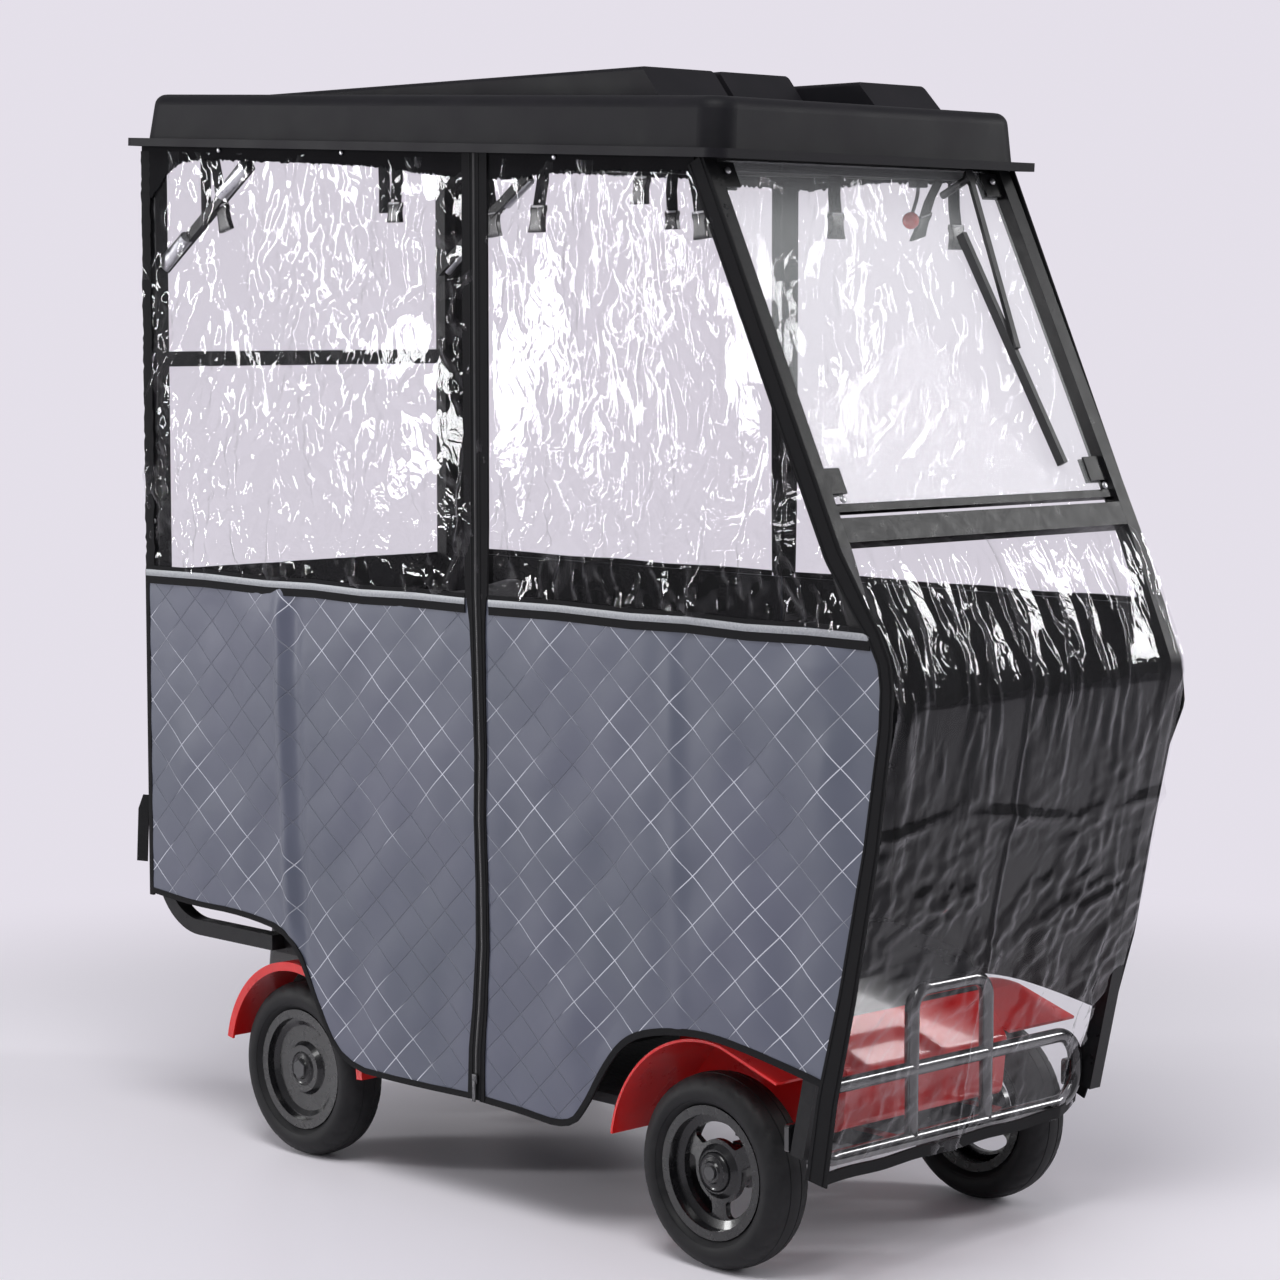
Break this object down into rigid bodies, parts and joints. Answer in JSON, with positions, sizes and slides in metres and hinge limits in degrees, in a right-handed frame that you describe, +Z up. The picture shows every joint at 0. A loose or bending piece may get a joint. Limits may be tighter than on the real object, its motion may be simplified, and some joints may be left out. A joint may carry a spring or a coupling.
{
  "type": "enclosed four-wheel electric microcar",
  "caption": "Small enclosed electric vehicle with scooter wheels, bar steering, tube canopy, moulded roof, raked glass screen and a zipped clear and quilted rain cover.",
  "frame": {"origin": "on the ground below the middle of the overall length and width", "axes": "+X forward, +Y to the driver's left, +Z up"},
  "size_m": [1.6886, 0.7, 1.7277],
  "materials": {
    "tyre": "matt black rubber",
    "rim": "gloss black paint",
    "steel": "satin dark paint",
    "frame": "satin black powder coat",
    "deck": "ribbed black mat",
    "battery": "plain case",
    "body_black": "moulded black plastic",
    "body_red": "gloss red plastic",
    "seat": "black vinyl",
    "roof": "satin black moulded plastic",
    "glass": "clear safety glass",
    "film": "clear flexible sheet, creased",
    "quilt": "blue-grey quilted fabric with diamond embossing",
    "webbing": "black webbing",
    "reflective": "silver-grey reflective tape",
    "chrome": "polished",
    "lamp_clear": "clear lens",
    "lamp_red": "red lens",
    "grip": "soft black rubber"
  },
  "bodies": {
    "chassis": {"battery_pack": "battery", "chassis_frame": "frame", "edge_bands": "webbing", "floor_deck": "deck", "front_apron": "film", "front_axle_beam": "steel", "front_body": "body_red", "front_bumper": "frame", "front_fenders": "body_red", "front_pillars": "frame", "glass_clamps": "frame", "headlamp": "lamp_clear", "leg_shield": "body_red", "rear_axle": "frame", "rear_body": "body_black", "rear_fenders": "body_red", "rear_posts": "frame", "rear_quilt": "quilt", "rear_window": "film", "reflective_strips": "reflective", "roof_rails": "frame", "roof_shell": "roof", "screen_crossbar": "frame", "seat_back": "seat", "seat_cushion": "seat", "side_quilt_left": "quilt", "side_quilt_right": "quilt", "side_window_left": "film", "side_window_right": "film", "tail_lamps": "lamp_red", "windscreen_glass": "glass", "wiper": "body_black", "wiper_lever": "chrome", "zippers": "webbing"},
    "steering": {"steering_column": "frame", "handlebar_grips": "grip", "dash_pod": "body_black"},
    "knuckle_right": {"knuckle_right": "steel"},
    "knuckle_left": {"knuckle_left": "steel"},
    "tie_rod": {"tie_rod": "steel"},
    "wheel_front_right": {"tyre_front_right": "tyre", "rim_front_right": "rim"},
    "wheel_front_left": {"tyre_front_left": "tyre", "rim_front_left": "rim"},
    "wheel_rear_right": {"tyre_rear_right": "tyre", "rim_rear_right": "rim"},
    "wheel_rear_left": {"tyre_rear_left": "tyre", "rim_rear_left": "rim"}
  },
  "joints": [
    {"name": "steer", "type": "hinge", "parent": "chassis", "child": "steering", "pos_m": [0.455, 0, 0.128], "axis": [-0.309, 0, 0.9511], "range_deg": [-25, 25]},
    {"name": "kingpin_right", "type": "hinge", "parent": "chassis", "child": "knuckle_right", "pos_m": [0.502, -0.225, 0.144], "axis": [0, 0, 1], "range_deg": [-25, 25]},
    {"name": "kingpin_left", "type": "hinge", "parent": "chassis", "child": "knuckle_left", "pos_m": [0.502, 0.225, 0.144], "axis": [0, 0, 1], "range_deg": [-25, 25]},
    {"name": "tie_rod_pivot", "type": "hinge", "parent": "knuckle_right", "child": "tie_rod", "pos_m": [0.422, -0.225, 0.0985], "axis": [0, 0, 1], "range_deg": [-25, 25]},
    {"name": "spin_front_right", "type": "hinge", "parent": "knuckle_right", "child": "wheel_front_right", "pos_m": [0.502, -0.285, 0.1425], "axis": [0, 1, 0], "continuous": true},
    {"name": "spin_front_left", "type": "hinge", "parent": "knuckle_left", "child": "wheel_front_left", "pos_m": [0.502, 0.285, 0.1425], "axis": [0, 1, 0], "continuous": true},
    {"name": "spin_rear_right", "type": "hinge", "parent": "chassis", "child": "wheel_rear_right", "pos_m": [-0.438, -0.285, 0.1425], "axis": [0, 1, 0], "continuous": true},
    {"name": "spin_rear_left", "type": "hinge", "parent": "chassis", "child": "wheel_rear_left", "pos_m": [-0.438, 0.285, 0.1425], "axis": [0, 1, 0], "continuous": true}
  ],
  "couplings": [
    {"joint": "kingpin_right", "follows": "steer", "ratio": 1},
    {"joint": "kingpin_left", "follows": "steer", "ratio": 1},
    {"joint": "tie_rod_pivot", "follows": "steer", "ratio": -1}
  ]
}
